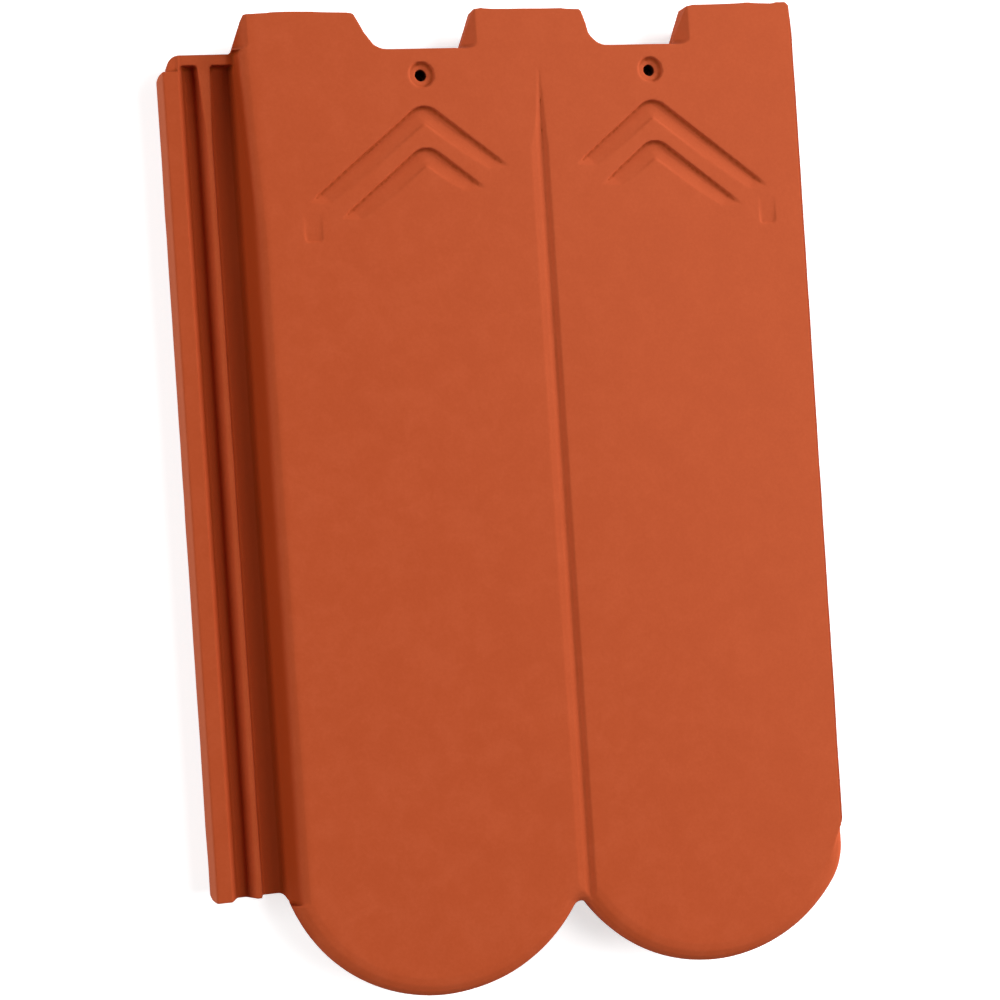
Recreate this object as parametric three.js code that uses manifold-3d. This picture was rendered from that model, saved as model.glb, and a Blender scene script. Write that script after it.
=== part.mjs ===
// Interlocking clay roof tile that looks like two round-cut plain tiles side by side.
// Millimetres. +X points to the cover edge, +Y to the head and +Z out of the weather face.
// The origin lies on the floor, under the middle of the tile.

import * as THREE from "three";
import { mergeVertices } from "three/addons/utils/BufferGeometryUtils.js";
import Module from "manifold-3d";

const wasm = await Module();
wasm.setup();

// Overall size
const TILE_LENGTH = 433; // to the top of the longest tab
const TILE_WIDTH = 288;
const TILE_HEIGHT = 32; // from the feet of the nibs to the weather face
const FIELD_THICKNESS = 12;

// Side lock: two water channels that run along the left edge under the neighbour's cover edge
const LOCK_DROP = 8; // from the weather face to the top of the lock's outer rib
const MIDDLE_RIB_DROP = 1.5; // the middle rib and the head plate lie this much lower
const CHANNEL_DEPTH = 8;
const LOCK_FLOOR = 5; // clay left under the channels
const LOCK_BEVEL_WIDTH = 2.2;
const LOCK_BEVEL_DROP = 6;
const OUTER_RIB_WIDTH = 6.8;
const OUTER_CHANNEL_WIDTH = 10.6;
const MIDDLE_RIB_WIDTH = 2.2;
const MIDDLE_RIB_OUTER_FLARE = 2.5; // the middle rib is this much wider at its head end
const MIDDLE_RIB_INNER_FLARE = 1;
const MIDDLE_RIB_FLARE_RUN = 38;
const INNER_CHANNEL_WIDTH = 9.6;
const CHANNEL_DRAFT = 1; // how far a steep channel wall leans
const OUTER_CHANNEL_LEAN = 2.8; // how far the wall below the outer rib's edge leans
const OUTER_CHANNEL_SLOPE = 4.4; // how far the wall below the middle rib's outer side leans
const FIELD_WALL_WIDTH = 7; // the steep rise from the inner channel to the weather face
const FIELD_EDGE_ROUND = 4.8; // width of the rounding at the top of that rise
const FIELD_EDGE_DROP = 3;
const FIELD_EDGE_RUN_ON = 4; // how far the rounding runs on into the field
const HEAD_WALL_NARROWING = 3.2; // the rise is this much narrower at the head
const HEAD_WALL_RUN = 75; // and widens over this length
const LOCK_FOOT_SETBACK = 50.4; // from the tips of the foot lobes to the foot end of the lock
const LOCK_HEAD_SETBACK = 17; // from the longest tab's top to the head end of the lock
const CHANNEL_HEAD_SETBACK = 21.8;
const OUTER_RIB_HEAD_SETBACK = 24.3;
const LOCK_CORNER_STEP = 4; // the head end of the lock is this much narrower than its outer rib
const LOCK_HEAD_ROUND = 6;
const OUTER_RIB_HEAD_ROUND = 3;
const LOCK_FOOT_ROUND = 2.4;
const LOCK_OVERLAP = 30; // how far the lock's plan shape runs in under the field

// Cover edge on the right, which lies over the next tile's lock
const COVER_SIDE_GAP = 3.7; // between one tile's cover edge and the next tile's field, at the face
const COVER_GAP = 0.8; // between the cover edge's underside and the lock that it lies over
const COVER_RIB_GAP = 0.8; // between a cover rib's foot and the channel floor
const COVER_RIB_TIP = 2.6;
const COVER_RIB_DRAFT = 0.9;
const COVER_EDGE_THICKNESS = 4;
const COVER_EDGE_ROUND = 1.5;
const COVER_FOOT_GAP = 3; // between the next tile's lock and the full thickness of the lobe

// Foot lobes
const LOBE_OVERLAP = 8.5; // how far each lobe's circle reaches past its half of the field
const LOBE_OFFSET = -0.9; // from the middle of each half of the field
const LOBE_ROUND_WIDTH = 8.5;
const LOBE_ROUND_DROP = 5;
const CUSP_RADIUS = 3.5;
const COVER_CORNER_RADIUS = 30;
const COVER_EDGE_SETBACK = 58; // from the lobes' tips to where the cover edge stops being square
const COVER_EDGE_RUN_OUT = 18; // length over which it takes on the lobe's round-over
const COVER_EDGE_RUN_OUT_WIDTH = 8;
const LOCK_CORNER_RADIUS = 4;

// False joint between the two lobes
const JOINT_OFFSET = 3.5; // from the middle of the field
const JOINT_DEPTH = 1.7;
const JOINT_SHOULDER_SHARE = 0.3; // share of the depth reached halfway across the shoulder
const JOINT_SHOULDER_WIDTH = 6;
const JOINT_WALL_WIDTH = 2;
const JOINT_HEAD_SETBACK = 25.3;
const JOINT_RUN_IN = 38;

// Head tabs and the notches between them
const NOTCH_DEPTH = 18.1;
const FIRST_TAB_WIDTH = 47; // along its top; the first tab stands next to the lock
const TAB_TOP_WIDTH = 49;
const MIDDLE_TAB_OFFSET = 1; // from midway between the other two
const TAB_BEVEL_DROP = 8;
const TAB_BEVEL_SLOPE = 1; // drop for each millimetre across
const TAB_BEVEL_END = 2.2; // from the notch floor up to where the bevel starts to run out
const TAB_BEVEL_END_REACH = 6; // of the hollow cone that it runs out in, across
const TAB_BEVEL_END_SQUASH = 0.45; // and that cone's length over its width
const TAB_LEAN_TOP = 0.4; // how far a tab's lock side stands out from the bevel line at its top
const FIRST_TAB_LEAN_TOP = 1.3;
const TAB_LEAN_FOOT = 6.9; // and at its foot
const COVER_TAPER_WIDTH = 1.2;
const COVER_TAPER_LENGTH = 15;
// The tabs' slightly wavy tops: distance along each, then its fall from the longest tab's top
const FIRST_TAB_TOP = [[0, 1.9], [4, 1.6], [17, 1], [40, 1.6], [46, 2], [47, 2.8]];
const MIDDLE_TAB_TOP = [[0, 1], [3, 0.7], [9, 1.2], [40, 1.3], [48, 1.9], [49, 3]];
const LAST_TAB_TOP = [[0, 1.1], [3, 0.6], [17, 0.5], [29, 0.1], [40.5, 0.5], [43, 0], [47.5, 0.1], [49, 1.6]];
// The curved sides toward the cover edge: distance across from the tab's corner, then the same fall
const FIRST_TAB_SHOULDER = [[2.1, 6.7], [4.1, 10.7], [7.9, 16], [10.6, 17.5], [13.5, 18.1]];
const MIDDLE_TAB_SHOULDER = [[1.8, 8.4], [2.7, 12.4], [4.1, 14.5], [6.7, 16.9], [9.5, 17.9], [12, 18.1]];

// Nail holes, one above each chevron
const NAIL_PITCH = 104.9;
const NAIL_OFFSET = 2.6; // from the middle of the field to the middle of the pair
const NAIL_HEAD_SETBACK = 29.8;
const NAIL_HOLE_DIAMETER = 5;
const COUNTERSINK_DIAMETER = 11.6;
const COUNTERSINK_DEPTH = 1.5; // at the hole's axis
const COUNTERSINK_LEAN = 0.5;
const SEAT_FALL_COVERWARD = 0.14; // the tilted seat is deepest toward the cover side of the head
const SEAT_FALL_HEADWARD = 0.11;
const NAIL_HOLE_SIDES = 28;

// Chevron recesses that turn water away from the joint and the nail holes
const CHEVRON_ANGLE = THREE.MathUtils.degToRad(39); // each arm's fall from the transverse line
const CHEVRON_HEAD_SETBACK = 43.8; // to the rounded top of the upper recess
const CHEVRON_STEP = 18.3; // from the upper recess to the lower one, along the tile
const CHEVRON_WIDTH = 8;
const CHEVRON_INNER_ROUND = 0.8;
const CHEVRON_ROUND_SIDES = 60;
const CHEVRON_JOIN = 0.05; // how far each arm runs into the rounded apex
const CHEVRON_DEPTH = 2.4;
const CHEVRON_LIP = 0.5; // depth left at a recess's lower side
const CHEVRON_FADE = 0.8; // rise of the floor from the apex to where each arm runs out
const CHEVRON_RUN_OUT = 7; // length over which an arm's end comes up to the weather face
const CHEVRON_WALL_LEAN = 0.5;
const UPPER_OUTER_REACH = 47.3; // how far each arm reaches sideways from the apex
const UPPER_INNER_REACH = 31.6;
const LOWER_OUTER_REACH = 34;
const LOWER_INNER_REACH = 20.5;
const DRIP_WIDTH = 7.6; // a faint slot that runs down from each upper recess's outer end
const DRIP_OUTSET = 4.4; // from the recess's end sideways to the slot's middle
const DRIP_GAP = 5.9; // from the recess's end down to the slot
const DRIP_LENGTH = 11;
const DRIP_DEPTH = 0.5;
const DRIP_ROUND = 2;

// Underside
const NIB_WIDTH = 36;
const NIB_THICKNESS = 13;
const NIB_DRAFT = 2;
const NIB_HEAD_SETBACK = 4;
const NIB_ROOT_DEPTH = 5; // from the weather face to the top of a nib's root inside the tab
const FOOT_RIB_WIDTH = 12;
const FOOT_RIB_SETBACK = 67;
const FOOT_RIB_DRAFT = 2;
const FOOT_RIB_END_GAP = 4; // between the rib's end and the cover edge's recess
const UNDERSIDE_SPLAY = 3; // lean of the steps in the underside beside the lock and the recess
const PAN_DEPTH = 2.5; // depth of the two pans that save clay under the field
const PAN_RIB_WIDTH = 12;
const PAN_MARGIN = 14;
const PAN_HEAD_SETBACK = 54;
const PAN_CORNER = 6;

const CURVE_DIVISIONS = 6; // straight steps that stand for each small round
const LOBE_DIVISIONS = 22; // and for each lobe
const EDGE_DIVISIONS = 4; // and for the round-over along a lobe's edge
const OVERRUN = 10; // how far a cutting solid reaches past what it cuts
const SEAM = 1; // overlap of solids that are joined

// Places worked out from the sizes
const headY = TILE_LENGTH / 2;
const footY = -TILE_LENGTH / 2;
const lockX = -TILE_WIDTH / 2;
const coverX = TILE_WIDTH / 2;
const topZ = TILE_HEIGHT;
const fieldUndersideZ = topZ - FIELD_THICKNESS;
const ribTopZ = topZ - LOCK_DROP;
const channelFloorZ = ribTopZ - CHANNEL_DEPTH;
const lockUndersideZ = channelFloorZ - LOCK_FLOOR;
const outerRibX = lockX + LOCK_BEVEL_WIDTH;
const outerChannelX = outerRibX + OUTER_RIB_WIDTH;
const middleRibX = outerChannelX + OUTER_CHANNEL_WIDTH;
const middleRibZ = ribTopZ - MIDDLE_RIB_DROP;
const innerChannelX = middleRibX + MIDDLE_RIB_WIDTH;
const fieldWallX = innerChannelX + INNER_CHANNEL_WIDTH;
const fieldX = fieldWallX + FIELD_WALL_WIDTH;
const lockFootY = footY + LOCK_FOOT_SETBACK;
const lockHeadY = headY - LOCK_HEAD_SETBACK;
const channelHeadY = headY - CHANNEL_HEAD_SETBACK;
const outerRibHeadY = headY - OUTER_RIB_HEAD_SETBACK;
const fieldMiddleX = (fieldX + coverX) / 2;
const lobePitch = (coverX - fieldX) / 2;
const lobeRadius = lobePitch / 2 + LOBE_OVERLAP;
const lobeY = footY + lobeRadius;
const leftLobeX = fieldMiddleX - lobePitch / 2 + LOBE_OFFSET;
const rightLobeX = leftLobeX + lobePitch;
const jointX = fieldMiddleX + JOINT_OFFSET;
const nailMiddleX = fieldMiddleX + NAIL_OFFSET;
const nailXs = [nailMiddleX - NAIL_PITCH / 2, nailMiddleX + NAIL_PITCH / 2];
const chevronRound = CHEVRON_WIDTH + CHEVRON_INNER_ROUND;
const lastTabX = coverX - COVER_TAPER_WIDTH - TAB_TOP_WIDTH;
const middleTabX = (fieldX + lastTabX) / 2 + MIDDLE_TAB_OFFSET;
const notchFloorY = headY - NOTCH_DEPTH;
const tabs = [
  {
    startX: fieldX,
    width: FIRST_TAB_WIDTH,
    baseY: lockHeadY,
    leanTop: FIRST_TAB_LEAN_TOP,
    top: FIRST_TAB_TOP,
    shoulder: FIRST_TAB_SHOULDER,
  },
  {
    startX: middleTabX,
    width: TAB_TOP_WIDTH,
    baseY: notchFloorY,
    leanTop: TAB_LEAN_TOP,
    top: MIDDLE_TAB_TOP,
    shoulder: MIDDLE_TAB_SHOULDER,
  },
  {
    startX: lastTabX,
    width: TAB_TOP_WIDTH,
    baseY: notchFloorY,
    leanTop: TAB_LEAN_TOP,
    top: LAST_TAB_TOP,
    shoulder: [],
  },
];
const coverPitch = coverX + COVER_SIDE_GAP - fieldX;
const coverStartX = lockX + coverPitch - COVER_GAP;
const coverUndersideZ = ribTopZ + COVER_GAP;
const coverRibZ = channelFloorZ + COVER_RIB_GAP;

function solidFromGeometry(geometry) {
  const bare = geometry.clone();
  bare.deleteAttribute("normal");
  bare.deleteAttribute("uv");
  const merged = mergeVertices(bare, 1e-5);
  const mesh = new wasm.Mesh({
    numProp: 3,
    vertProperties: new Float32Array(merged.attributes.position.array),
    triVerts: new Uint32Array(merged.index.array),
  });
  return new wasm.Manifold(mesh);
}

function geometryFromSolid(solid) {
  const mesh = solid.getMesh();
  const geometry = new THREE.BufferGeometry();
  geometry.setAttribute("position", new THREE.BufferAttribute(mesh.vertProperties, 3));
  geometry.setIndex(new THREE.BufferAttribute(mesh.triVerts, 1));
  geometry.computeVertexNormals();
  return geometry;
}

function boxSolid(x0, x1, y0, y1, z0, z1) {
  const geometry = new THREE.BoxGeometry(x1 - x0, y1 - y0, z1 - z0);
  geometry.translate((x0 + x1) / 2, (y0 + y1) / 2, (z0 + z1) / 2);
  return solidFromGeometry(geometry);
}

function shapeFromPoints(points) {
  return new THREE.Shape(points.map(([x, y]) => new THREE.Vector2(x, y)));
}

// A section given as X and Z, run along Y
function runAlongY(points, y0, y1) {
  const geometry = new THREE.ExtrudeGeometry(shapeFromPoints(points), {
    depth: y1 - y0,
    bevelEnabled: false,
  });
  geometry.rotateX(Math.PI / 2);
  geometry.translate(0, y1, 0);
  return solidFromGeometry(geometry);
}

// A plan outline given as X and Y, raised along Z
function raiseOutline(shape, z0, z1, curveSegments = CURVE_DIVISIONS) {
  const geometry = new THREE.ExtrudeGeometry(shape, {
    depth: z1 - z0,
    bevelEnabled: false,
    curveSegments,
  });
  geometry.translate(0, 0, z0);
  return solidFromGeometry(geometry);
}

function quarterEllipse(centreX, centreZ, radiusX, radiusZ, startAngle, endAngle) {
  const points = [];
  for (let step = 0; step <= CURVE_DIVISIONS; step += 1) {
    const angle = startAngle + ((endAngle - startAngle) * step) / CURVE_DIVISIONS;
    points.push([centreX + radiusX * Math.cos(angle), centreZ + radiusZ * Math.sin(angle)]);
  }
  return points;
}

// The rise from the inner channel to the weather face, which it meets at topX
function fieldRise(topX) {
  const startX = topX - FIELD_EDGE_ROUND;
  const startZ = topZ - FIELD_EDGE_DROP;
  const slope = (startZ - channelFloorZ) / (startX - fieldWallX);
  const edge = new THREE.QuadraticBezierCurve(
    new THREE.Vector2(startX, startZ),
    new THREE.Vector2(startX + FIELD_EDGE_DROP / slope, topZ),
    new THREE.Vector2(topX, topZ),
  );
  return [[fieldWallX, channelFloorZ], ...edge.getPoints(CURVE_DIVISIONS).map(({ x, y }) => [x, y])];
}

// The tile's cross-section from the lock to the cover edge, looking toward the head
function crossSection() {
  const wallRise = fieldRise(fieldX + FIELD_EDGE_RUN_ON);
  const edgeRound = quarterEllipse(coverX - COVER_EDGE_ROUND, topZ - COVER_EDGE_ROUND,
    COVER_EDGE_ROUND, COVER_EDGE_ROUND, Math.PI / 2, 0);
  const outerFloorX = outerChannelX + OUTER_CHANNEL_LEAN;
  const outerRibMiddle = (outerFloorX + middleRibX - OUTER_CHANNEL_SLOPE) / 2 + coverPitch;
  const innerRibMiddle = (innerChannelX + fieldWallX) / 2 + coverPitch;
  const ribHalf = COVER_RIB_TIP / 2;
  const rootHalf = ribHalf + COVER_RIB_DRAFT;
  return [
    [lockX, lockUndersideZ],
    [fieldX, lockUndersideZ],
    [fieldX + UNDERSIDE_SPLAY, fieldUndersideZ],
    [coverStartX - UNDERSIDE_SPLAY, fieldUndersideZ],
    [coverStartX, coverUndersideZ],
    [outerRibMiddle - rootHalf, coverUndersideZ],
    [outerRibMiddle - ribHalf, coverRibZ],
    [outerRibMiddle + ribHalf, coverRibZ],
    [outerRibMiddle + rootHalf, coverUndersideZ],
    [innerRibMiddle - rootHalf, coverUndersideZ],
    [innerRibMiddle - ribHalf, coverRibZ],
    [innerRibMiddle + ribHalf, coverRibZ],
    [coverX, topZ - COVER_EDGE_THICKNESS],
    ...edgeRound.reverse(),
    ...wallRise.reverse(),
    [innerChannelX + CHANNEL_DRAFT, channelFloorZ],
    [innerChannelX, middleRibZ],
    [middleRibX, middleRibZ],
    [middleRibX - OUTER_CHANNEL_SLOPE, channelFloorZ],
    [outerFloorX, channelFloorZ],
    [outerChannelX, ribTopZ],
    [outerRibX, ribTopZ],
    [lockX, ribTopZ - LOCK_BEVEL_DROP],
  ];
}

// Plan outline of the field: straight sides and two round lobes at the foot
function fieldOutline() {
  const cuspX = (leftLobeX + rightLobeX) / 2;
  const cuspReach = lobeRadius + CUSP_RADIUS;
  const cuspY = lobeY - Math.sqrt(cuspReach ** 2 - (lobePitch / 2) ** 2);
  const cuspAngle = Math.atan2(lobeY - cuspY, lobePitch / 2);

  const innerRadius = lobeRadius - COVER_CORNER_RADIUS;
  const cornerX = coverX - COVER_CORNER_RADIUS;
  const cornerY = lobeY - Math.sqrt(innerRadius ** 2 - (cornerX - rightLobeX) ** 2);
  const cornerAngle = Math.atan2(cornerY - lobeY, cornerX - rightLobeX);

  const lockReach = lobeRadius + LOCK_CORNER_RADIUS;
  const filletY = lockFootY - LOCK_CORNER_RADIUS;
  const filletX = leftLobeX - Math.sqrt(lockReach ** 2 - (lobeY - filletY) ** 2);
  const filletAngle = Math.atan2(lobeY - filletY, leftLobeX - filletX);

  const outline = new THREE.Shape();
  outline.moveTo(middleRibX, headY + OVERRUN);
  outline.lineTo(middleRibX, lockFootY);
  outline.lineTo(filletX, lockFootY);
  outline.absarc(filletX, filletY, LOCK_CORNER_RADIUS, Math.PI / 2, filletAngle, true);
  outline.absarc(leftLobeX, lobeY, lobeRadius, Math.PI + filletAngle, 2 * Math.PI - cuspAngle, false);
  outline.absarc(cuspX, cuspY, CUSP_RADIUS, Math.PI - cuspAngle, cuspAngle, true);
  outline.absarc(rightLobeX, lobeY, lobeRadius, Math.PI + cuspAngle, 2 * Math.PI + cornerAngle, false);
  outline.absarc(cornerX, cornerY, COVER_CORNER_RADIUS, cornerAngle, 0, false);
  outline.lineTo(coverX, headY + OVERRUN);
  return outline;
}

// The field's plan shape, with the lobes' edges rounded over at the weather face
function fieldPrism() {
  const geometry = new THREE.ExtrudeGeometry(fieldOutline(), {
    depth: topZ - 2 * LOBE_ROUND_DROP + OVERRUN,
    bevelEnabled: true,
    bevelThickness: LOBE_ROUND_DROP,
    bevelSize: LOBE_ROUND_WIDTH,
    bevelOffset: -LOBE_ROUND_WIDTH,
    bevelSegments: EDGE_DIVISIONS,
    curveSegments: LOBE_DIVISIONS,
  });
  geometry.translate(0, 0, LOBE_ROUND_DROP - OVERRUN);
  return solidFromGeometry(geometry);
}

// Keeps the cover edge square down to its corner, where it runs out into the lobe's round-over
function coverSidePrism() {
  const innerX = coverX - 2 * COVER_CORNER_RADIUS;
  const squareEndY = footY + COVER_EDGE_SETBACK;
  const runOutY = squareEndY - COVER_EDGE_RUN_OUT;
  const outline = shapeFromPoints([
    [innerX, headY + OVERRUN],
    [innerX, runOutY],
    [coverX - COVER_EDGE_RUN_OUT_WIDTH, runOutY],
    [coverX, squareEndY],
    [coverX, headY + OVERRUN],
  ]);
  return raiseOutline(outline, 0, topZ + OVERRUN);
}

// Plan shape of the lock, with its rounded corners
function lockPrism() {
  const stepX = lockX + LOCK_CORNER_STEP;
  const footRound = LOCK_FOOT_ROUND;
  const ribRound = OUTER_RIB_HEAD_ROUND;
  const headRound = LOCK_HEAD_ROUND;
  const outline = new THREE.Shape();
  outline.moveTo(fieldWallX, lockFootY);
  outline.lineTo(fieldX + LOCK_OVERLAP, lobeY);
  outline.lineTo(fieldX + LOCK_OVERLAP, headY);
  outline.lineTo(fieldX, headY);
  outline.lineTo(fieldX, lockHeadY);
  outline.lineTo(stepX + headRound, lockHeadY);
  outline.absarc(stepX + headRound, lockHeadY - headRound, headRound, Math.PI / 2, Math.PI, false);
  outline.lineTo(stepX, outerRibHeadY);
  outline.lineTo(lockX + ribRound, outerRibHeadY);
  outline.absarc(lockX + ribRound, outerRibHeadY - ribRound, ribRound, Math.PI / 2, Math.PI, false);
  outline.lineTo(lockX, lockFootY + footRound);
  outline.absarc(lockX + footRound, lockFootY + footRound, footRound, Math.PI, 1.5 * Math.PI, false);
  return raiseOutline(outline, 0, topZ + OVERRUN);
}

// The field's rise is steeper and narrower at the head. This strip fills in the difference, and
// runs out into the full rise over its length.
function headWallStrip() {
  const insideX = fieldX + FIELD_EDGE_RUN_ON + SEAM;
  const section = shapeFromPoints([
    ...fieldRise(fieldX + FIELD_EDGE_RUN_ON - HEAD_WALL_NARROWING).reverse(),
    [fieldX - HEAD_WALL_NARROWING, channelFloorZ],
    [fieldX, fieldUndersideZ],
    [insideX, fieldUndersideZ],
    [insideX, topZ],
  ]);
  const geometry = new THREE.ExtrudeGeometry(section, { depth: HEAD_WALL_RUN, bevelEnabled: false });
  const lean = HEAD_WALL_NARROWING / HEAD_WALL_RUN;
  geometry.applyMatrix4(new THREE.Matrix4().makeShear(0, 0, 0, 0, lean, 0));
  geometry.rotateX(Math.PI / 2);
  geometry.translate(0, lockHeadY, 0);
  return solidFromGeometry(geometry);
}

// Closes both channels at the head
function lockHeadPlate() {
  return boxSolid(lockX, fieldX, channelHeadY, lockHeadY, channelFloorZ - SEAM, middleRibZ);
}

// The middle rib grows wider toward the head plate
function middleRibFlare() {
  const outline = shapeFromPoints([
    [middleRibX - MIDDLE_RIB_OUTER_FLARE, channelHeadY],
    [middleRibX, channelHeadY - MIDDLE_RIB_FLARE_RUN],
    [innerChannelX, channelHeadY - MIDDLE_RIB_FLARE_RUN],
    [innerChannelX + MIDDLE_RIB_INNER_FLARE, channelHeadY],
  ]);
  return raiseOutline(outline, channelFloorZ - SEAM, middleRibZ);
}

function body() {
  const slabStartY = lockFootY - COVER_FOOT_GAP;
  const run = runAlongY(crossSection(), slabStartY, headY + OVERRUN)
    .add(boxSolid(fieldWallX, coverX, footY - OVERRUN, slabStartY, fieldUndersideZ, topZ))
    .add(lockHeadPlate())
    .add(middleRibFlare());
  const lobed = fieldPrism().add(coverSidePrism());
  return run.intersect(lobed.add(lockPrism()));
}

// Fills the corner between the first tab and its lock side, as far as its bevel reaches
function firstTabBlock() {
  return boxSolid(fieldX - TAB_BEVEL_DROP / TAB_BEVEL_SLOPE, fieldX + FIELD_EDGE_RUN_ON + SEAM,
    lockHeadY, headY, fieldUndersideZ, topZ);
}

// Clears what lies under the first tab's lock side
function firstTabUndercut() {
  return boxSolid(lockX - OVERRUN, fieldX + UNDERSIDE_SPLAY, lockHeadY, headY + OVERRUN,
    -OVERRUN, fieldUndersideZ);
}

// Everything beyond the head edge, which runs along the lock's head end, over the tabs and through
// the notches between them
function headEdgeCutter() {
  const beyondY = headY + OVERRUN;
  const taperY = headY - COVER_TAPER_LENGTH;
  const outline = [[lockX - OVERRUN, beyondY], [lockX - OVERRUN, lockHeadY]];
  tabs.forEach((tab) => {
    const cornerX = tab.startX + tab.width;
    const along = ([across, fall]) => [tab.startX + across, headY - fall];
    const down = ([across, fall]) => [cornerX + across, headY - fall];
    outline.push([tab.startX - TAB_LEAN_FOOT, tab.baseY]);
    outline.push([tab.startX - tab.leanTop, headY - tab.top[0][1]]);
    outline.push(...tab.top.map(along), ...tab.shoulder.map(down));
  });
  outline.push([coverX, taperY], [coverX + OVERRUN, taperY], [coverX + OVERRUN, beyondY]);
  return raiseOutline(shapeFromPoints(outline), -OVERRUN, topZ + OVERRUN);
}

// The bevel along a tab's lock side
function tabBevelCutter(tabX, lowerY) {
  const run = TAB_BEVEL_DROP / TAB_BEVEL_SLOPE;
  const section = [
    [tabX + OVERRUN / TAB_BEVEL_SLOPE, topZ + OVERRUN],
    [tabX - run - OVERRUN, topZ + OVERRUN],
    [tabX - run - OVERRUN, topZ - TAB_BEVEL_DROP],
    [tabX - run, topZ - TAB_BEVEL_DROP],
  ];
  return runAlongY(section, lowerY, headY + OVERRUN);
}

// The hollow cone in which a bevel runs out. It touches the bevel along one straight line.
function tabBevelEndCutter(tabX, lowerY) {
  const reach = TAB_BEVEL_END_REACH;
  const profile = [
    [0, topZ - reach * TAB_BEVEL_SLOPE],
    [reach + OVERRUN / TAB_BEVEL_SLOPE, topZ + OVERRUN],
    [0, topZ + OVERRUN],
  ].map(([radius, height]) => new THREE.Vector2(radius, height));
  const geometry = new THREE.LatheGeometry(profile, NAIL_HOLE_SIDES);
  geometry.rotateX(Math.PI / 2);
  geometry.scale(1, TAB_BEVEL_END_SQUASH, 1);
  geometry.translate(tabX - reach, lowerY, 0);
  return solidFromGeometry(geometry);
}

// Stops the outer rib's higher crest short of the head plate
function outerRibEndCutter() {
  return boxSolid(lockX - OVERRUN, outerChannelX, outerRibHeadY, headY + OVERRUN,
    middleRibZ, topZ + OVERRUN);
}

function headCutters() {
  const cutters = [headEdgeCutter(), outerRibEndCutter()];
  tabs.forEach((tab) => {
    const lowerY = tab.baseY + TAB_BEVEL_END;
    cutters.push(tabBevelCutter(tab.startX, lowerY), tabBevelEndCutter(tab.startX, lowerY));
  });
  return cutters;
}

function nailHoleCutter(centreX) {
  const holeRadius = NAIL_HOLE_DIAMETER / 2;
  const sinkRadius = COUNTERSINK_DIAMETER / 2;
  const holeProfile = [[0, -OVERRUN], [holeRadius, -OVERRUN], [holeRadius, topZ], [0, topZ]];
  const sinkProfile = [
    [0, topZ - COUNTERSINK_DEPTH],
    [sinkRadius - COUNTERSINK_LEAN, topZ - COUNTERSINK_DEPTH],
    [sinkRadius, topZ],
    [sinkRadius, topZ + OVERRUN],
    [0, topZ + OVERRUN],
  ];
  const [hole, sink] = [holeProfile, sinkProfile].map((profile) => {
    const points = profile.map(([radius, height]) => new THREE.Vector2(radius, height));
    return new THREE.LatheGeometry(points, NAIL_HOLE_SIDES).rotateX(Math.PI / 2);
  });
  const tilt = new THREE.Matrix4().makeShear(0, -SEAT_FALL_COVERWARD, 0, -SEAT_FALL_HEADWARD, 0, 0);
  sink.applyMatrix4(tilt);
  return solidFromGeometry(hole)
    .add(solidFromGeometry(sink))
    .translate([centreX, headY - NAIL_HEAD_SETBACK, 0]);
}

// Section of a chevron recess: distance from the apex round's centre, then height. The head side
// is a steep wall and the floor rises toward the foot.
const recessSection = [
  [chevronRound + CHEVRON_WALL_LEAN, topZ + SEAM],
  [chevronRound - CHEVRON_WIDTH, topZ + SEAM],
  [chevronRound - CHEVRON_WIDTH + CHEVRON_WALL_LEAN / 2, topZ - CHEVRON_LIP],
  [chevronRound, topZ - CHEVRON_DEPTH],
];

// A stretch of one arm, from start to end along it, whose floor rises from one height to another.
// Side is -1 for the arm toward the lock, else 1.
function armStretch(side, start, end, startRise, endRise) {
  const geometry = new THREE.ExtrudeGeometry(shapeFromPoints(recessSection), {
    depth: end - start + CHEVRON_JOIN,
    bevelEnabled: false,
  });
  geometry.translate(0, 0, side > 0 ? start - CHEVRON_JOIN : -end);
  const slope = (endRise - startRise) / (end - start);
  geometry.applyMatrix4(new THREE.Matrix4().makeShear(0, 0, 0, 0, 0, side * slope));
  geometry.translate(0, startRise - slope * start, 0);
  const outward = new THREE.Vector3(side * Math.sin(CHEVRON_ANGLE), Math.cos(CHEVRON_ANGLE), 0);
  const up = new THREE.Vector3(0, 0, 1);
  const along = new THREE.Vector3().crossVectors(outward, up);
  geometry.applyMatrix4(new THREE.Matrix4().makeBasis(outward, up, along));
  return solidFromGeometry(geometry);
}

// One arm, which grows shallow toward its end
function chevronArm(side, reach) {
  const end = reach / Math.cos(CHEVRON_ANGLE);
  const runOut = end - CHEVRON_RUN_OUT;
  return armStretch(side, 0, runOut, 0, CHEVRON_FADE)
    .add(armStretch(side, runOut, end, CHEVRON_FADE, CHEVRON_DEPTH));
}

function chevronApex() {
  const profile = recessSection.map(([radius, height]) => new THREE.Vector2(radius, height));
  profile.push(profile[0].clone());
  const ring = new THREE.LatheGeometry(profile, CHEVRON_ROUND_SIDES);
  ring.rotateX(Math.PI / 2);
  const reach = 3 * chevronRound;
  const sideX = reach * Math.sin(CHEVRON_ANGLE);
  const sideY = reach * Math.cos(CHEVRON_ANGLE);
  const sector = shapeFromPoints([[0, 0], [sideX, sideY], [0, reach + chevronRound], [-sideX, sideY]]);
  return solidFromGeometry(ring).intersect(raiseOutline(sector, -OVERRUN, topZ + OVERRUN));
}

function chevronCutter(centreX, apexY, leftReach, rightReach) {
  return chevronApex()
    .add(chevronArm(-1, leftReach))
    .add(chevronArm(1, rightReach))
    .translate([centreX, apexY - chevronRound, 0]);
}

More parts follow.
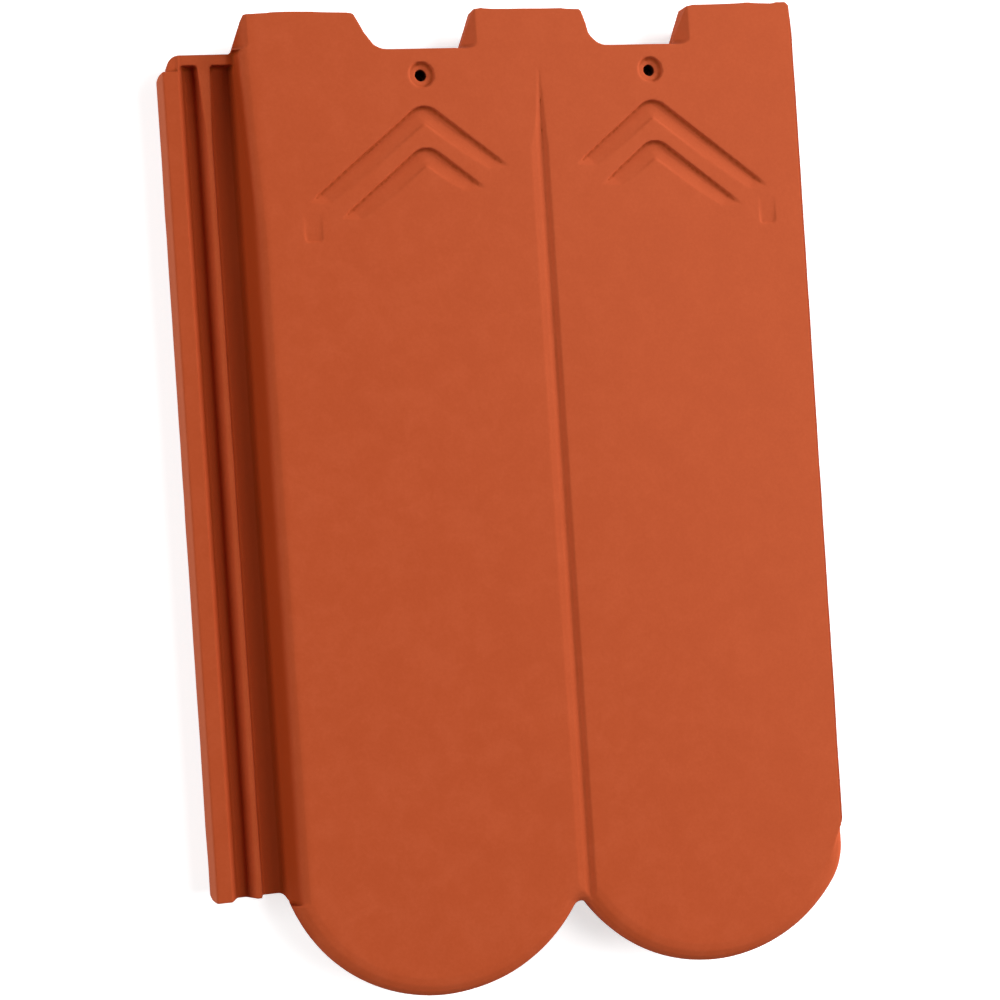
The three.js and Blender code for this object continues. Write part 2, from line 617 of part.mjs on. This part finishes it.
// A faint slot below the outer end of an upper recess, for the water that it leads aside. It
// starts flush with the weather face and deepens toward the foot.
function dripCutter(middleX, startY) {
  const leftX = middleX - DRIP_WIDTH / 2;
  const rightX = middleX + DRIP_WIDTH / 2;
  const roundY = startY - DRIP_LENGTH;
  const outline = new THREE.Shape();
  outline.moveTo(leftX, startY);
  outline.lineTo(leftX, roundY);
  outline.absarc(leftX + DRIP_ROUND, roundY, DRIP_ROUND, Math.PI, 1.5 * Math.PI, false);
  outline.absarc(rightX - DRIP_ROUND, roundY, DRIP_ROUND, 1.5 * Math.PI, 2 * Math.PI, false);
  outline.lineTo(rightX, startY);
  const geometry = new THREE.ExtrudeGeometry(outline, {
    depth: DRIP_DEPTH + SEAM,
    bevelEnabled: false,
    curveSegments: CURVE_DIVISIONS,
  });
  const slope = DRIP_DEPTH / DRIP_LENGTH;
  geometry.applyMatrix4(new THREE.Matrix4().makeShear(0, 0, 0, slope, 0, 0));
  geometry.translate(0, 0, topZ - slope * startY);
  return solidFromGeometry(geometry);
}

function chevronCutters() {
  const upperY = headY - CHEVRON_HEAD_SETBACK;
  const lowerY = upperY - CHEVRON_STEP;
  const dripX = UPPER_OUTER_REACH + DRIP_OUTSET;
  const dripY = upperY - UPPER_OUTER_REACH * Math.tan(CHEVRON_ANGLE) - DRIP_GAP;
  const cutters = [];
  nailXs.forEach((centreX, index) => {
    const outerSide = index === 0 ? -1 : 1;
    const upper = [UPPER_OUTER_REACH, UPPER_INNER_REACH];
    const lower = [LOWER_OUTER_REACH, LOWER_INNER_REACH];
    if (outerSide > 0) {
      upper.reverse();
      lower.reverse();
    }
    cutters.push(chevronCutter(centreX, upperY, ...upper));
    cutters.push(chevronCutter(centreX, lowerY, ...lower));
    cutters.push(dripCutter(centreX + outerSide * dripX, dripY));
  });
  return cutters;
}

// The false joint: a soft shoulder on its left, a steep wall on its right, fading out at the head
function jointCutters() {
  const section = [
    [jointX + JOINT_WALL_WIDTH, topZ + SEAM],
    [jointX + JOINT_WALL_WIDTH, topZ],
    [jointX, topZ - JOINT_DEPTH],
    [jointX - JOINT_SHOULDER_WIDTH / 2, topZ - JOINT_DEPTH * JOINT_SHOULDER_SHARE],
    [jointX - JOINT_SHOULDER_WIDTH, topZ],
    [jointX - JOINT_SHOULDER_WIDTH, topZ + SEAM],
  ];
  const startY = headY - JOINT_HEAD_SETBACK - JOINT_RUN_IN;
  const full = runAlongY(section, footY - OVERRUN, startY);
  const geometry = new THREE.ExtrudeGeometry(shapeFromPoints(section), {
    depth: JOINT_RUN_IN,
    bevelEnabled: false,
  });
  geometry.applyMatrix4(new THREE.Matrix4().makeShear(0, 0, 0, 0, 0, -JOINT_DEPTH / JOINT_RUN_IN));
  geometry.translate(0, JOINT_DEPTH, 0);
  geometry.rotateX(Math.PI / 2);
  geometry.translate(0, startY + JOINT_RUN_IN, 0);
  return [full, solidFromGeometry(geometry)];
}

// Nib that hooks over the roof batten, under each head tab
function nib(tab) {
  const middleX = tab.startX + tab.width / 2;
  const backY = headY - NIB_HEAD_SETBACK;
  const frontY = backY - NIB_THICKNESS;
  const rootZ = topZ - NIB_ROOT_DEPTH;
  const section = [
    [frontY, 0],
    [backY - NIB_DRAFT, 0],
    [backY, fieldUndersideZ],
    [backY, rootZ],
    [frontY, rootZ],
  ];
  const geometry = new THREE.ExtrudeGeometry(shapeFromPoints(section), {
    depth: NIB_WIDTH,
    bevelEnabled: false,
  });
  geometry.applyMatrix4(new THREE.Matrix4().makeBasis(
    new THREE.Vector3(0, 1, 0), new THREE.Vector3(0, 0, 1), new THREE.Vector3(1, 0, 0)));
  geometry.translate(middleX - NIB_WIDTH / 2, 0, 0);
  return solidFromGeometry(geometry);
}

// Bearing rib under the foot, which rests on the tiles of the next course
function footRib() {
  const middleY = footY + FOOT_RIB_SETBACK;
  const half = FOOT_RIB_WIDTH / 2;
  const section = [
    [middleY - half + FOOT_RIB_DRAFT, lockUndersideZ],
    [middleY + half - FOOT_RIB_DRAFT, lockUndersideZ],
    [middleY + half, fieldUndersideZ],
    [middleY + half, fieldUndersideZ + SEAM],
    [middleY - half, fieldUndersideZ + SEAM],
    [middleY - half, fieldUndersideZ],
  ];
  const length = coverStartX - FOOT_RIB_END_GAP - fieldX;
  const geometry = new THREE.ExtrudeGeometry(shapeFromPoints(section), {
    depth: length,
    bevelEnabled: false,
  });
  geometry.applyMatrix4(new THREE.Matrix4().makeBasis(
    new THREE.Vector3(0, 1, 0), new THREE.Vector3(0, 0, 1), new THREE.Vector3(1, 0, 0)));
  geometry.translate(fieldX, 0, 0);
  return solidFromGeometry(geometry);
}

// Shallow pans in the underside, one under each half of the field
function panCutters() {
  const leftX = fieldX + PAN_MARGIN;
  const rightX = coverStartX - PAN_MARGIN;
  const lowerY = footY + FOOT_RIB_SETBACK + PAN_MARGIN;
  const upperY = headY - PAN_HEAD_SETBACK;
  const spans = [[leftX, jointX - PAN_RIB_WIDTH / 2], [jointX + PAN_RIB_WIDTH / 2, rightX]];
  return spans.map(([x0, x1]) => {
    const outline = shapeFromPoints([
      [x0 + PAN_CORNER, lowerY],
      [x1 - PAN_CORNER, lowerY],
      [x1, lowerY + PAN_CORNER],
      [x1, upperY - PAN_CORNER],
      [x1 - PAN_CORNER, upperY],
      [x0 + PAN_CORNER, upperY],
      [x0, upperY - PAN_CORNER],
      [x0, lowerY + PAN_CORNER],
    ]);
    return raiseOutline(outline, 0, fieldUndersideZ + PAN_DEPTH);
  });
}

function buildTile() {
  const cutters = [
    ...headCutters(),
    ...nailXs.map(nailHoleCutter),
    ...chevronCutters(),
    ...jointCutters(),
    ...panCutters(),
  ];
  const additions = [
    headWallStrip(),
    firstTabBlock(),
    footRib(),
    ...tabs.map(nib),
  ];
  const trimmed = body().subtract(firstTabUndercut());
  const whole = additions.reduce((solid, extra) => solid.add(extra), trimmed);
  return cutters.reduce((solid, cutter) => solid.subtract(cutter), whole);
}

const clay = new THREE.MeshStandardMaterial({ color: 0xb8522e, roughness: 0.85, metalness: 0 });
const tileMesh = new THREE.Mesh(geometryFromSolid(buildTile()), clay);
tileMesh.name = "tile_body";

const group = new THREE.Group();
group.add(tileMesh);
export default group;
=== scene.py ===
import math

import bpy
import numpy as np
from mathutils import Matrix, Vector


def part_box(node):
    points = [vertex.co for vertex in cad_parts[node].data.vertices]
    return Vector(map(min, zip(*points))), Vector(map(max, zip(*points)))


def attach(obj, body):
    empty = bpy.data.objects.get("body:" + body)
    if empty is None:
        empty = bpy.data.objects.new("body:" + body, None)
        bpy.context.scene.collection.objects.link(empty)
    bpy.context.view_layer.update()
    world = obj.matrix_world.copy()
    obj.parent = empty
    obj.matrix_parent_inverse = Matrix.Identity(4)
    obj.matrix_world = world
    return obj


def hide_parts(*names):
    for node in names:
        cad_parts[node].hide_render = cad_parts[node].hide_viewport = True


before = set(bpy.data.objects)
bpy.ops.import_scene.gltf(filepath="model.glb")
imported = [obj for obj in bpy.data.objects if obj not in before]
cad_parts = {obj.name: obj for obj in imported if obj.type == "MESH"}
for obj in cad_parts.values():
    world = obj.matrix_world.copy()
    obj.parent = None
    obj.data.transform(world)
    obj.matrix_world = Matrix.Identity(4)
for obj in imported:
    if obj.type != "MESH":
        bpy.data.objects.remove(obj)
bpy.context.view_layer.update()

# All lengths are in metres. +X points to the cover edge, +Y to the head and +Z out of the weather face.
MM = 0.001
tile_low, tile_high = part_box("tile_body")
TOP = tile_high.z

# Camera
LENS = 72.0
SENSOR = 36.0
CAMERA_DISTANCE = 881 * MM
CAMERA_AIM = Vector((-6.0 * MM, 25.05 * MM, TOP))
LOOK_FROM_LOCK_SIDE = math.radians(13.35)
LOOK_FROM_FOOT = math.radians(0.28)
CAMERA_ROLL = math.radians(-3.74)
CAMERA_SHIFT = -0.06

# Softening of the pressed body
MERGE_DISTANCE = 0.01 * MM
VOXEL = 0.58 * MM
SMOOTH_STEPS = 2
SMOOTH_FACTOR = 0.5
DRYING_WAVE = 26 * MM
DRYING_HOLLOW = 0.3 * MM
MOST_TRIANGLES = 185000
FLAT_WEIGHT = 50
CREASE_RADIUS = 1.0 * MM
CREASE_SPREAD = 2

# Places where the clay's colour, its painted light falloff and its painted shade and highlight change,
# each from its start to its end. Heights are above the floor.
# LOCK_END to SLOPE_TOP mark where shade is painted in the lock's channels and on the slope beside them
LOCK_END = (-104 * MM, -99 * MM)
LOCK_UNDERSIDE = (11 * MM, 14 * MM)
CHANNEL_HEIGHTS = (17 * MM, 22.5 * MM)
SLOPE_START = (-115.5 * MM, -113 * MM)
SLOPE_TOP = (26 * MM, 31.5 * MM)
LOCK_EDGE = (-142.4 * MM, -141.4 * MM)
# Where shade is painted along the cover rim
COVER_RIM = (142.2 * MM, 143.3 * MM)
COVER_RIM_HEIGHT = (29 * MM, 31 * MM)
# Where shade is painted in the nail holes
NAIL_HOLES = ((-30.7 * MM, 186.7 * MM, 0), (74.2 * MM, 186.7 * MM, 0))
NAIL_HOLE_REACH = (2.6 * MM, 2.9 * MM)
NAIL_HOLE_MOUTH = (29 * MM, 30.5 * MM)
# Painted light falloff: the clay is painted paler toward the head of the cover side, where the lamps
# stand
LIGHT_FALLOFF_REACH = (-90 * MM, 170 * MM)
LIGHT_FALLOFF_LEAN = 0.52  # how much of the painted light falloff runs toward the head

# Clay colours, the colours of painted light, shade and highlight, and how much of each one shows
# The two ends of the painted light falloff, away from the lamps and toward them
CLAY_AWAY_FROM_LIGHT = (0.489, 0.0790, 0.0209, 1)
CLAY_TOWARD_LIGHT = (0.520, 0.0911, 0.0280, 1)
PALE_MOTTLE = (0.60, 0.124, 0.050, 1)
MOTTLE_SIZE = 13 * MM
MOTTLE_BAND = (0.35, 0.7)
MOTTLE_SHARE = 0.24
DARK_GRAIN = (0.36, 0.040, 0.004, 1)
PALE_GRAIN = (0.60, 0.12, 0.030, 1)
GRAIN_SIZE = 1.3 * MM
DARK_GRAIN_BAND = (0.25, 0.75)
PALE_GRAIN_BAND = (0.6, 0.85)
GRAIN_SHARE = 0.12
# Painted shade in the lock's channels and on the slope beside them
LOCK_SHADE_CLAY = (0.34, 0.036, 0.001, 1)
CHANNEL_FLOOR_SHARE = 0.6
LOCK_RIB_SHARE = 0.1
SLOPE_SHARE = 0.85
# Painted highlight of bounced light along the lock's outer edge
LOCK_EDGE_HIGHLIGHT = (0.62, 0.17, 0.085, 1)
LOCK_EDGE_HIGHLIGHT_SHARE = 0.5
# Painted shade in inner corners and creases
CREASE_SHADE_CLAY = (0.27, 0.038, 0.002, 1)
CREASE_BAND = (0.08, 0.5)
CREASE_SHADE_SHARE = 0.75
# Painted shade along the cover rim
COVER_RIM_SHADE_CLAY = (0.24, 0.024, 0.003, 1)
COVER_RIM_SHADE_SHARE = 0.9
# Painted shade in the nail holes
HOLE_SHADE_CLAY = (0.03, 0.004, 0.001, 1)
HOLE_SHADE_SHARE = 0.95
LIME = (0.62, 0.20, 0.10, 1)
LIME_SPECKS = {"spacing": 24 * MM, "radius": 0.55 * MM, "soft": 0.35 * MM, "share": 0.22}
LIME_SHARE = 0.35
ASH = (0.22, 0.030, 0.010, 1)
ASH_SPECKS = {"spacing": 31 * MM, "radius": 0.5 * MM, "soft": 0.4 * MM, "share": 0.22}
ASH_SHARE = 0.45

# Clay surface
ROUGHNESS_BAND = (0.3, 0.7)
LEAST_ROUGH = 0.78
MOST_ROUGH = 0.92
CLAY_SHINE = 0.15
RIPPLE_SIZE = 7 * MM
RIPPLE_HEIGHT = 0.05 * MM
GRAIN_HEIGHT = 0.035 * MM

# Floor. The part under the tile has a painted shadow, dark so that no floor shows bright through the nail
# holes.
FLOOR_SIZE = 6.0
DARK_HALF_WIDTH = (96 * MM, 102 * MM)
DARK_HEAD_END = (197 * MM, 202 * MM)
DARK_FOOT_END = (-110 * MM, -90 * MM)
FLOOR_PAINT = (0.9, 0.9, 0.9, 1)
UNDER_TILE_SHADOW = (0.02, 0.015, 0.01, 1)
WHITE = (1, 1, 1, 1)
BLACK = (0, 0, 0, 1)
FLOOR_LIFT = 0.65

# Light
HIGH_LAMP_PLACE = Vector((1.20, 0.10, 2.08))
HIGH_LAMP_POWER = 31.0
COVER_LAMP_PLACE = Vector((2.18, 0.71, 0.70))
COVER_LAMP_POWER = 66.0
LOCK_LAMP_PLACE = Vector((-2.14, 0.30, 1.05))
LOCK_LAMP_POWER = 32.0
LAMP_SIZE = 1.3
SKY_LEVEL = 0.05


def only(piece):
    bpy.ops.object.select_all(action="DESELECT")
    piece.select_set(True)
    bpy.context.view_layer.objects.active = piece


def apply_modifier(piece, kind, name, **settings):
    only(piece)
    modifier = piece.modifiers.new(name, kind)
    for key, value in settings.items():
        setattr(modifier, key, value)
    bpy.ops.object.modifier_apply(modifier=modifier.name)


def triangles(piece):
    return sum(len(face.vertices) - 2 for face in piece.data.polygons)


def add_camera():
    turn = (
        Matrix.Rotation(-LOOK_FROM_LOCK_SIDE, 3, "Y")
        @ Matrix.Rotation(-LOOK_FROM_FOOT, 3, "X")
        @ Matrix.Rotation(CAMERA_ROLL, 3, "Z")
    )
    bpy.ops.object.camera_add(location=CAMERA_AIM + turn @ Vector((0, 0, CAMERA_DISTANCE)))
    camera = bpy.context.active_object
    camera.rotation_euler = turn.to_euler()
    camera.data.lens = LENS
    camera.data.sensor_width = SENSOR
    camera.data.shift_y = CAMERA_SHIFT
    bpy.context.scene.camera = camera


def pressed_tile():
    """The tile with its arrises softened, as clay leaves the press, and slightly hollowed by drying."""
    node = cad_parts["tile_body"]
    piece = bpy.data.objects.new("pressed_tile", node.data.copy())
    bpy.context.scene.collection.objects.link(piece)
    only(piece)
    bpy.ops.object.mode_set(mode="EDIT")
    bpy.ops.mesh.select_all(action="SELECT")
    bpy.ops.mesh.remove_doubles(threshold=MERGE_DISTANCE)
    bpy.ops.object.mode_set(mode="OBJECT")
    apply_modifier(piece, "REMESH", "press", mode="VOXEL", voxel_size=VOXEL)
    apply_modifier(piece, "SMOOTH", "soften", factor=SMOOTH_FACTOR, iterations=SMOOTH_STEPS)
    drying = bpy.data.textures.new("drying", "CLOUDS")
    drying.noise_scale = DRYING_WAVE
    drying.noise_depth = 1
    apply_modifier(
        piece, "DISPLACE", "drying", texture=drying, texture_coords="LOCAL",
        direction="NORMAL", mid_level=1.0, strength=DRYING_HOLLOW,
    )
    apply_modifier(piece, "DECIMATE", "thin", ratio=min(1.0, MOST_TRIANGLES / triangles(piece)))
    bpy.ops.object.shade_smooth()
    mark_creases(piece)
    apply_modifier(piece, "WEIGHTED_NORMAL", "flats", mode="FACE_AREA", weight=FLAT_WEIGHT)
    return piece


def mark_creases(piece):
    """Store how hollow the surface is at each vertex, from 0 where it is flat or rounded out to 1 in a
    tight inner corner. The clay material paints shade in the hollows from it."""
    mesh = piece.data
    count = len(mesh.vertices)
    places = np.empty(count * 3)
    mesh.vertices.foreach_get("co", places)
    places = places.reshape(count, 3)
    normals = np.empty(count * 3)
    mesh.vertices.foreach_get("normal", normals)
    normals = normals.reshape(count, 3)
    ends = np.empty(len(mesh.edges) * 2, dtype=np.int32)
    mesh.edges.foreach_get("vertices", ends)
    first, second = ends.reshape(-1, 2).T
    neighbours = np.bincount(ends, minlength=count)

    def edge_mean(at_first, at_second):
        total = np.bincount(first, at_first, count) + np.bincount(second, at_second, count)
        return total / neighbours

    along = places[second] - places[first]
    turned_in = np.sum((normals[first] - normals[second]) * along, axis=1)
    bend = turned_in / np.sum(along * along, axis=1)
    hollow = np.clip(edge_mean(bend, bend) * CREASE_RADIUS, 0, 1)
    for _ in range(CREASE_SPREAD):
        hollow = 0.5 * hollow + 0.5 * edge_mean(hollow[second], hollow[first])
    crease = mesh.attributes.new("crease", "FLOAT", "POINT")
    crease.data.foreach_set("value", hollow.astype(np.float32))


class Graph:
    """Short calls for adding and joining shader nodes."""

    def __init__(self, tree):
        self.tree = tree

    def node(self, kind, **settings):
        made = self.tree.nodes.new(kind)
        for key, value in settings.items():
            setattr(made, key, value)
        return made

    def join(self, source, target):
        if isinstance(source, (int, float, tuple)):
            target.default_value = source
        else:
            self.tree.links.new(source, target)

    def math(self, operation, a, b=0.0):
        made = self.node("ShaderNodeMath", operation=operation)
        self.join(a, made.inputs[0])
        self.join(b, made.inputs[1])
        return made.outputs[0]

    def times(self, first, *others):
        for other in others:
            first = self.math("MULTIPLY", first, other)
        return first

    def noise(self, place, size, detail, roughness=0.5, distortion=0.0):
        made = self.node("ShaderNodeTexNoise")
        self.join(place, made.inputs["Vector"])
        made.inputs["Scale"].default_value = 1.0 / size
        made.inputs["Detail"].default_value = detail
        made.inputs["Roughness"].default_value = roughness
        made.inputs["Distortion"].default_value = distortion
        return made.outputs["Fac"]

    def ramp(self, value, reach, start=0.0, end=1.0):
        """A smooth change from start to end, over the reach of the value."""
        made = self.node("ShaderNodeMapRange", interpolation_type="SMOOTHSTEP")
        self.join(value, made.inputs["Value"])
        made.inputs["From Min"].default_value, made.inputs["From Max"].default_value = reach
        made.inputs["To Min"].default_value = start
        made.inputs["To Max"].default_value = end
        return made.outputs["Result"]

    def tint(self, share, first, second):
        made = self.node("ShaderNodeMix", data_type="RGBA")
        factor, a, b = [made.inputs[i] for i in (0, 6, 7)]
        self.join(share, factor)
        self.join(first, a)
        self.join(second, b)
        return made.outputs[2]

    def specks(self, place, spacing, radius, soft, share):
        """Round marks of a given radius, on a share of the cells of a cellular pattern."""
        cells = self.node("ShaderNodeTexVoronoi", feature="F1")
        self.join(place, cells.inputs["Vector"])
        cells.inputs["Scale"].default_value = 1.0 / spacing
        pick = self.node("ShaderNodeSeparateColor")
        self.join(cells.outputs["Color"], pick.inputs[0])
        reach = self.times(cells.outputs["Distance"], spacing)
        disc = self.ramp(reach, (radius - soft, radius + soft), 1.0, 0.0)
        return self.times(disc, self.math("LESS_THAN", pick.outputs[0], share))


def painted_lock_shade(graph, toward_cover, height):
    """Painted shade in the lock's channels and on the slope beside them."""
    in_lock = graph.ramp(toward_cover, LOCK_END, 1.0, 0.0)
    over_underside = graph.ramp(height, LOCK_UNDERSIDE)
    channels = graph.ramp(height, CHANNEL_HEIGHTS, CHANNEL_FLOOR_SHARE, LOCK_RIB_SHARE)
    slope = graph.times(
        graph.ramp(toward_cover, SLOPE_START), graph.ramp(height, SLOPE_TOP, SLOPE_SHARE, 0.0)
    )
    return graph.times(graph.math("MAXIMUM", channels, slope), in_lock, over_underside)


def clay_material():
    material = bpy.data.materials.new("fired_clay")
    material.use_nodes = True
    graph = Graph(material.node_tree)
    shader = material.node_tree.nodes["Principled BSDF"]
    place = graph.node("ShaderNodeTexCoord").outputs["Object"]
    axes = graph.node("ShaderNodeSeparateXYZ")
    graph.join(place, axes.inputs[0])
    toward_cover, toward_head, height = axes.outputs

    # Paler toward the head of the cover side as painted light falloff, with a mottle and a fine grain
    light_falloff = graph.math("ADD", toward_cover, graph.times(toward_head, LIGHT_FALLOFF_LEAN))
    mottle = graph.noise(place, MOTTLE_SIZE, detail=4.0, roughness=0.7, distortion=0.3)
    grain = graph.noise(place, GRAIN_SIZE, detail=3.0, roughness=0.6)
    colour = graph.tint(graph.ramp(light_falloff, LIGHT_FALLOFF_REACH), CLAY_AWAY_FROM_LIGHT, CLAY_TOWARD_LIGHT)
    colour = graph.tint(graph.ramp(mottle, MOTTLE_BAND, 0.0, MOTTLE_SHARE), colour, PALE_MOTTLE)
    colour = graph.tint(graph.ramp(grain, DARK_GRAIN_BAND, GRAIN_SHARE, 0.0), colour, DARK_GRAIN)
    colour = graph.tint(graph.ramp(grain, PALE_GRAIN_BAND, 0.0, GRAIN_SHARE), colour, PALE_GRAIN)

    # Painted shade in the lock, a painted highlight along the lock's edge, and painted shade in inner
    # corners and along the cover rim
    colour = graph.tint(painted_lock_shade(graph, toward_cover, height), colour, LOCK_SHADE_CLAY)
    # Painted highlight along the lock's outer edge
    colour = graph.tint(graph.ramp(toward_cover, LOCK_EDGE, LOCK_EDGE_HIGHLIGHT_SHARE, 0.0), colour, LOCK_EDGE_HIGHLIGHT)
    # Painted shade in inner corners, from the crease attribute
    crease = graph.node("ShaderNodeAttribute", attribute_name="crease").outputs["Fac"]
    colour = graph.tint(graph.ramp(crease, CREASE_BAND, 0.0, CREASE_SHADE_SHARE), colour, CREASE_SHADE_CLAY)
    # Painted shade along the cover rim
    rim_shade = graph.times(
        graph.ramp(toward_cover, COVER_RIM), graph.ramp(height, COVER_RIM_HEIGHT, 0.0, COVER_RIM_SHADE_SHARE)
    )
    colour = graph.tint(rim_shade, colour, COVER_RIM_SHADE_CLAY)

    # Painted shade on the walls of the nail holes
    plan = graph.node("ShaderNodeCombineXYZ")
    graph.join(toward_cover, plan.inputs["X"])
    graph.join(toward_head, plan.inputs["Y"])
    for hole_place in NAIL_HOLES:
        span = graph.node("ShaderNodeVectorMath", operation="DISTANCE")
        graph.join(plan.outputs[0], span.inputs[0])
        graph.join(hole_place, span.inputs[1])
        within = graph.ramp(span.outputs["Value"], NAIL_HOLE_REACH, HOLE_SHADE_SHARE, 0.0)
        below_mouth = graph.ramp(height, NAIL_HOLE_MOUTH, 1.0, 0.0)
        colour = graph.tint(graph.times(within, below_mouth), colour, HOLE_SHADE_CLAY)

    # Specks of lime and of ash
    lime = graph.specks(place, **LIME_SPECKS)
    ash = graph.specks(place, **ASH_SPECKS)
    colour = graph.tint(graph.times(lime, LIME_SHARE), colour, LIME)
    colour = graph.tint(graph.times(ash, ASH_SHARE), colour, ASH)
    graph.join(colour, shader.inputs["Base Color"])
    graph.join(graph.ramp(mottle, ROUGHNESS_BAND, LEAST_ROUGH, MOST_ROUGH), shader.inputs["Roughness"])
    shader.inputs["Specular IOR Level"].default_value = CLAY_SHINE

    ripple = graph.noise(place, RIPPLE_SIZE, detail=2.0)
    relief = graph.math("ADD", graph.times(ripple, RIPPLE_HEIGHT), graph.times(grain, GRAIN_HEIGHT))
    bump = graph.node("ShaderNodeBump")
    bump.inputs["Strength"].default_value = 1.0
    bump.inputs["Distance"].default_value = 1.0
    graph.join(relief, bump.inputs["Height"])
    graph.join(bump.outputs["Normal"], shader.inputs["Normal"])
    return material


def add_floor():
    bpy.ops.mesh.primitive_plane_add(size=FLOOR_SIZE, location=(0, 0, 0))
    floor = bpy.context.active_object
    floor.name = "floor"
    material = bpy.data.materials.new("floor_white")
    material.use_nodes = True
    graph = Graph(material.node_tree)
    shader = material.node_tree.nodes["Principled BSDF"]
    place = graph.node("ShaderNodeSeparateXYZ")
    graph.join(graph.node("ShaderNodeTexCoord").outputs["Object"], place.inputs[0])
    past_sides = graph.ramp(graph.math("ABSOLUTE", place.outputs["X"]), DARK_HALF_WIDTH)
    past_head = graph.ramp(place.outputs["Y"], DARK_HEAD_END)
    past_foot = graph.ramp(place.outputs["Y"], DARK_FOOT_END, 1.0, 0.0)
    open_floor = graph.math("MAXIMUM", past_sides, graph.math("MAXIMUM", past_head, past_foot))
    # The part under the tile gets the painted shadow
    graph.join(graph.tint(open_floor, UNDER_TILE_SHADOW, FLOOR_PAINT), shader.inputs["Base Color"])
    graph.join(graph.tint(open_floor, BLACK, WHITE), shader.inputs["Emission Color"])
    shader.inputs["Roughness"].default_value = 1.0
    shader.inputs["Specular IOR Level"].default_value = 0
    path = graph.node("ShaderNodeLightPath")
    graph.join(graph.times(path.outputs["Is Camera Ray"], FLOOR_LIFT), shader.inputs["Emission Strength"])
    floor.data.materials.append(material)


def add_lamp(name, place, power):
    bpy.ops.object.light_add(type="AREA", location=place)
    lamp = bpy.context.active_object
    lamp.name = name
    lamp.data.energy = power
    lamp.data.size = LAMP_SIZE
    lamp.rotation_euler = (-place).to_track_quat("-Z", "Y").to_euler()


def add_lights():
    world = bpy.data.worlds.new("studio")
    bpy.context.scene.world = world
    world.use_nodes = True
    back = world.node_tree.nodes["Background"]
    back.inputs["Color"].default_value = WHITE
    back.inputs["Strength"].default_value = SKY_LEVEL
    add_lamp("high_lamp", HIGH_LAMP_PLACE, HIGH_LAMP_POWER)
    add_lamp("cover_side_lamp", COVER_LAMP_PLACE, COVER_LAMP_POWER)
    add_lamp("lock_side_lamp", LOCK_LAMP_PLACE, LOCK_LAMP_POWER)


add_camera()
tile = pressed_tile()
tile.data.materials.clear()
tile.data.materials.append(clay_material())
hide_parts("tile_body")
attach(tile, "root")
add_floor()
add_lights()
bpy.context.scene.view_settings.view_transform = "Standard"

print("triangles", triangles(tile))
